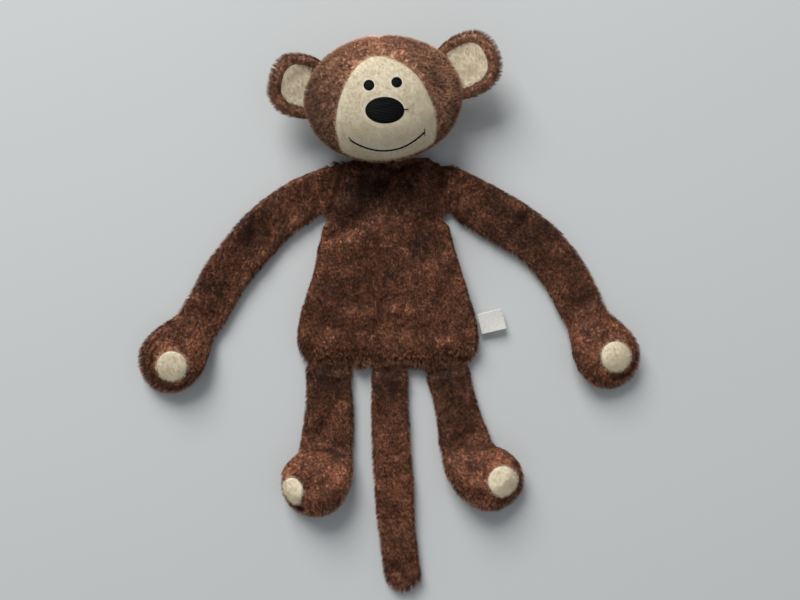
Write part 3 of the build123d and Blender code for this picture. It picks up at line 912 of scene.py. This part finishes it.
    lining_shares = np.linspace(0.004, 1, 40)
    cut = dict(radius=LINING_HALF[0], stop=tuck + LINING_SHORT, squeeze=LINING_HALF[1] / LINING_HALF[0])
    upper = ear_grid(lining_shares, ear_turns, lining_top, **cut)
    upper = upper + n_way * (0.12 * MM * noise(upper, 1.8 * MM, 86))[..., None]
    lower = ear_grid(lining_shares, ear_turns, lining_under, **cut)
    ear_lining = piece_of(f"ear_lining_plush_{side}", thick_grid("lining", upper, lower, True), CREAM)
    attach(ear_lining, f"ear_{side}")
    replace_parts(ear_lining, f"ear_lining_{side}")
    PIECES[f"ear_lining_{side}"] = ear_lining


# ---- cream pads on the palms and soles ----------------------------------------------
PAD_ROWS, PAD_COLUMNS = 46, 150
pad_shares = np.linspace(0.01, 1, PAD_ROWS)
pad_turns = np.linspace(0, 2 * math.pi, PAD_COLUMNS, endpoint=False)
PAD_TRIM = {"hand": 0.90, "foot": 0.94}     # the pile round a pad stands over its edge
for end, cover in (("hand", "hand_cover"), ("foot", "leg_cover")):
    for side, s in SIDES.items():
        node = f"{end}_{side}_pad"
        low, high = (np.array(corner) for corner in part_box(node))
        middle, half = (low + high) / 2, (high - low) / 2 * PAD_TRIM[end]
        cover_mesh = bpy.data.objects[f"{cover}_{side}"].data
        cover_tree = tree_of(cover_mesh)
        tops = np.empty((PAD_ROWS, PAD_COLUMNS, 3))
        ways = np.empty_like(tops)
        for i, share in enumerate(pad_shares):
            for j, turn in enumerate(pad_turns):
                ripple = 1 + 0.02 * math.sin(5 * turn + s) + 0.015 * math.sin(9 * turn)
                x = middle[0] + half[0] * share * ripple * math.cos(turn)
                y = middle[1] + half[1] * share * ripple * math.sin(turn)
                place, way = cover_tree.ray_cast(Vector((x, y, high[2] + 20 * MM)), Vector((0, 0, -1)))[:2]
                if place is None or way[2] < 0.25:      # past the cover's outline, or down its side
                    place, way = cover_tree.find_nearest(Vector((x, y, middle[2])))[:2]
                tops[i, j], ways[i, j] = place, way
        tops, ways = smooth_grid(tops, 200, True), smooth_grid(ways, 200, True)
        ways /= np.linalg.norm(ways, axis=-1, keepdims=True)
        rise = (1.9 * MM * (1 - pad_shares ** 8) ** 0.5 + 0.1 * MM)[:, None] + 0.12 * MM * noise(tops, 1.8 * MM, 90)
        pad_mesh = thick_grid("pad", tops + ways * rise[..., None], tops - ways * 0.8 * MM, True)
        pad_mesh = skin_over([], 0.4 * MM, 4, finer=0, extra=[pad_mesh])
        pad_cover = piece_of(f"{end}_pad_{side}", pad_mesh, CREAM)
        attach(pad_cover, f"{end}_{side}")
        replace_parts(pad_cover, node)
        PIECES[node] = pad_cover


# ---- embroidery ----------------------------------------------------------------------
FACE_TREE = tree_of(face.data)


def face_height(x, y, otherwise):
    """How high the face is at a place, or otherwise where there is none."""
    hit = FACE_TREE.ray_cast(Vector((x, y, face_high[2] + 20 * MM)), Vector((0, 0, -1)))[0]
    return hit.z if hit else otherwise


def stitched_oval(name, node, turn, proud, thread):
    """Satin stitch over an oval: a low dome of threads laid side by side, on the face."""
    low, high = (np.array(c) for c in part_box(node))
    middle, half = (low + high) / 2, (high - low) / 2
    shares = np.linspace(0.01, 1, 90)
    turns = np.linspace(0, 2 * math.pi, 180, endpoint=False)
    x = middle[0] + half[0] * shares[:, None] * np.cos(turns)[None]
    y = middle[1] + half[1] * shares[:, None] * np.sin(turns)[None]
    across = (x - middle[0]) * -math.sin(turn) + (y - middle[1]) * math.cos(turn)
    dome = proud * np.sqrt(np.maximum(0, 1 - shares[:, None] ** 2.6)) * np.ones_like(x)
    ridge = 0.07 * MM * np.abs(np.cos(math.pi * across / thread)) * (1 - shares[:, None] ** 6)
    base = np.vectorize(lambda x, y: face_height(x, y, middle[2]))(x, y)
    outer = np.stack([x, y, base + dome + ridge], axis=-1)
    inner = np.stack([x, y, base - 0.8 * MM], axis=-1)
    piece = piece_of(name, thick_grid(name, outer, inner, True), BLACK)
    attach(piece, "head")
    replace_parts(piece, node)


for name, node, thread in (("nose_embroidery", "nose", 0.5 * MM), ("eye_embroidery_left", "left_eye", 0.45 * MM),
                           ("eye_embroidery_right", "right_eye", 0.45 * MM)):
    stitched_oval(name, node, math.radians(6), 1.1 * MM, thread)


def node_midline(node, count):
    """Points along the middle of a long thin CAD node that runs from side to side."""
    points = points_of(frame["nodes"][node].data)
    low, high = points[:, 0].min(), points[:, 0].max()
    line = []
    for x in np.linspace(low + 0.9 * MM, high - 0.9 * MM, count):
        near = points[np.abs(points[:, 0] - x) < 2.5 * MM]
        fit = np.polyfit(near[:, 0] - x, near[:, 1], 1)
        line.append((x, fit[1]))
    return np.array(line)


def thread_piece(name, flat_line, radius, stitch):
    """A line of embroidery on the face: a raised thread that plumps up in each stitch."""
    across_points = 16
    line = np.array([(x, y, face_height(x, y, face_high[2]) + 0.5 * radius) for x, y in flat_line])
    run = np.gradient(line, axis=0)
    run /= np.linalg.norm(run, axis=1)[:, None]
    aside = np.cross(np.array([0, 0, 1.0]), run)
    upward = np.cross(run, aside)
    length = np.concatenate([[0], np.cumsum(np.linalg.norm(np.diff(line, axis=0), axis=1))])
    plump = 0.70 + 0.30 * np.abs(np.sin(math.pi * length / stitch)) ** 0.5
    ends = np.minimum(1, np.minimum(length, length[-1] - length) / radius) ** 0.5
    turns = np.linspace(0, 2 * math.pi, across_points, endpoint=False)
    thick = (radius * plump * np.maximum(ends, 0.05))[:, None, None]
    rings = line[:, None] + thick * (np.cos(turns)[None, :, None] * aside[:, None]
                                     + 0.8 * np.sin(turns)[None, :, None] * upward[:, None])
    corners = ((0, 0), (0, 1), (1, 1), (1, 0))
    faces = [[(i + k) * across_points + (j + m) % across_points for k, m in corners]
             for i in range(len(line) - 1) for j in range(across_points)]
    last = (len(line) - 1) * across_points
    faces += [list(range(across_points))[::-1], list(range(last, last + across_points))]
    mesh = bpy.data.meshes.new(name)
    mesh.from_pydata(rings.reshape(-1, 3).tolist(), [], faces)
    weld(mesh)
    piece = piece_of(name, mesh, BLACK)
    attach(piece, "head")
    return piece


mouth = node_midline("mouth_stitch", 40)
fit = np.polyfit(mouth[:, 0], mouth[:, 1], 4)
mouth_x = np.linspace(mouth[0, 0], mouth[-1, 0], 420)
mouth_line = np.stack([mouth_x, np.polyval(fit, mouth_x)], axis=1)
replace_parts(thread_piece("mouth_embroidery", mouth_line, 0.6 * MM, 3.2 * MM), "mouth_stitch")
for k, (end, up) in enumerate((((mouth_line[0]), (-1.6 * MM, 1.6 * MM)), (mouth_line[-1], (0.6 * MM, -4.2 * MM)))):
    start = end - 0.35 * np.array(up) + (0, 0.6 * MM)
    thread_piece(f"mouth_end_{k}", start + np.linspace(0, 1, 30)[:, None] * np.array(up), 0.4 * MM, 9 * MM)
nose_low, nose_high = (np.array(corner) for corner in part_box("nose"))
loose = np.array([nose_high[0] - 0.6 * MM, nose_middle[1] + 0.6 * MM])
thread_piece("nose_end", loose + np.linspace(0, 1, 30)[:, None] * np.array([3.0 * MM, 0.2 * MM]), 0.35 * MM, 9 * MM)


# ---- label: a blank satin ribbon folded in two ---------------------------------------
label_root, label_axis = joint_place("label_flap"), joint_axis("label_flap")
label_out = np.cross(label_axis, (0, 0, 1.0))
label_out *= np.sign(label_out[0]) / np.linalg.norm(label_out)
LABEL_WIDTH, LABEL_LENGTH, LABEL_THICK, LABEL_FOLD = 13.6 * MM, 17.0 * MM, 0.16 * MM, 0.32 * MM
satin, nodes, links, shader, coords = new_material("label_satin")
weave = [(0.3, (0.74, 0.72, 0.67)), (0.7, (0.90, 0.89, 0.85))]
links.new(colour_ramp(nodes, links, noise_node(nodes, links, coords, 900.0, 2.0), weave), shader.inputs["Base Color"])
set_inputs(shader, {"Roughness": 0.35, "Sheen Weight": 0.2})

label_middle = box_middle("side_label")
drop_angle = math.atan2(label_root[2] - label_middle[2], np.linalg.norm((label_middle - label_root)[:2]))
run_direction = label_out * math.cos(drop_angle) - np.array([0, 0, math.sin(drop_angle)])
up_direction = np.cross(label_axis, run_direction)
up_direction *= np.sign(up_direction[2])
# the ribbon runs out along its upper half, and back along its lower one
share, beside = np.meshgrid(np.linspace(0, 2, 90), np.linspace(-0.5, 0.5, 30), indexing="ij")
away = np.where(share <= 1, 1, -1)
along = np.where(share <= 1, share, 2 - share)
near_fold = np.maximum(0, 1 - (1 - along) * LABEL_LENGTH / (1.2 * MM))
lift = LABEL_FOLD * away * np.sqrt(np.maximum(0, 1 - near_fold ** 2))
lift += 0.7 * MM * np.sin(along * 2.6) + 0.5 * MM * (2 * beside) ** 2 * along
ribbon = label_root + run_direction * (along * LABEL_LENGTH)[..., None] + label_axis * (beside * LABEL_WIDTH)[..., None]
ribbon = ribbon + up_direction * lift[..., None]
skin = up_direction * (away * LABEL_THICK / 2)[..., None]
label = piece_of("side_label_ribbon", thick_grid("label", ribbon + skin, ribbon - skin, False), satin)
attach(label, "label")
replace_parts(label, "side_label")


# ---- pile ------------------------------------------------------------------------------
for piece, length, lean, seed, settings in FUR:
    fur(piece, length, lean, seed, **settings)


def short_pile(piece, length, seed, avoid=()):
    """Cream pile, short and upright, kept off what is stitched on it."""
    weight_group(piece, "pile", pad_weights(piece.data, avoid, reach=1.32 * MM))
    fur(piece, length, np.zeros(3), seed, density=1.6, thickness=0.05 * MM, wild=0.05, clump=0.0, group="pile")


short_pile(face, 1.1 * MM, 101, ["nose", "left_eye", "right_eye", "mouth_stitch"])
for k, piece in enumerate(PIECES.values()):
    short_pile(piece, 1.3 * MM, 110 + k)


# ---- floor, light and camera --------------------------------------------------------------
FLOOR = 20.0                 # half its width
floor_mesh = bpy.data.meshes.new("floor")
corners = [(x * FLOOR, y * FLOOR, 0) for x, y in ((-1, -1), (1, -1), (1, 1), (-1, 1))]
floor_mesh.from_pydata(corners, [], [(0, 1, 2, 3)])
pale, nodes, links, shader, coords = new_material("pale_floor")
set_inputs(shader, {"Base Color": (0.68, 0.70, 0.71, 1), "Roughness": 0.8})
floor_mesh.materials.append(pale)
placed("floor", floor_mesh)

world = bpy.data.worlds.new("soft_room")
bpy.context.scene.world = world
world.use_nodes = True
set_inputs(world.node_tree.nodes["Background"], {"Color": (0.93, 0.97, 1.0, 1), "Strength": 0.27})


window = bpy.data.lights.new("window", "AREA")
window.size, window.energy, window.color = 1.7, 82.0, (1.0, 0.99, 0.97)
WINDOW_PLACE = Vector((-0.85, 2.15, 1.9))      # it looks at the toy's chest
holder = placed("window", window)
holder.location = WINDOW_PLACE
holder.rotation_euler = (Vector((0, -0.02, 0)) - WINDOW_PLACE).to_track_quat("-Z", "Y").to_euler()

camera = bpy.data.cameras.new("camera")
camera.sensor_width = SENSOR
camera.lens = SENSOR * CAMERA_HEIGHT / VIEW_WIDTH
holder = placed("camera", camera)
holder.location = (*CAMERA_AXIS, CAMERA_HEIGHT)
bpy.context.scene.camera = holder
bpy.context.scene.view_settings.view_transform = "Standard"
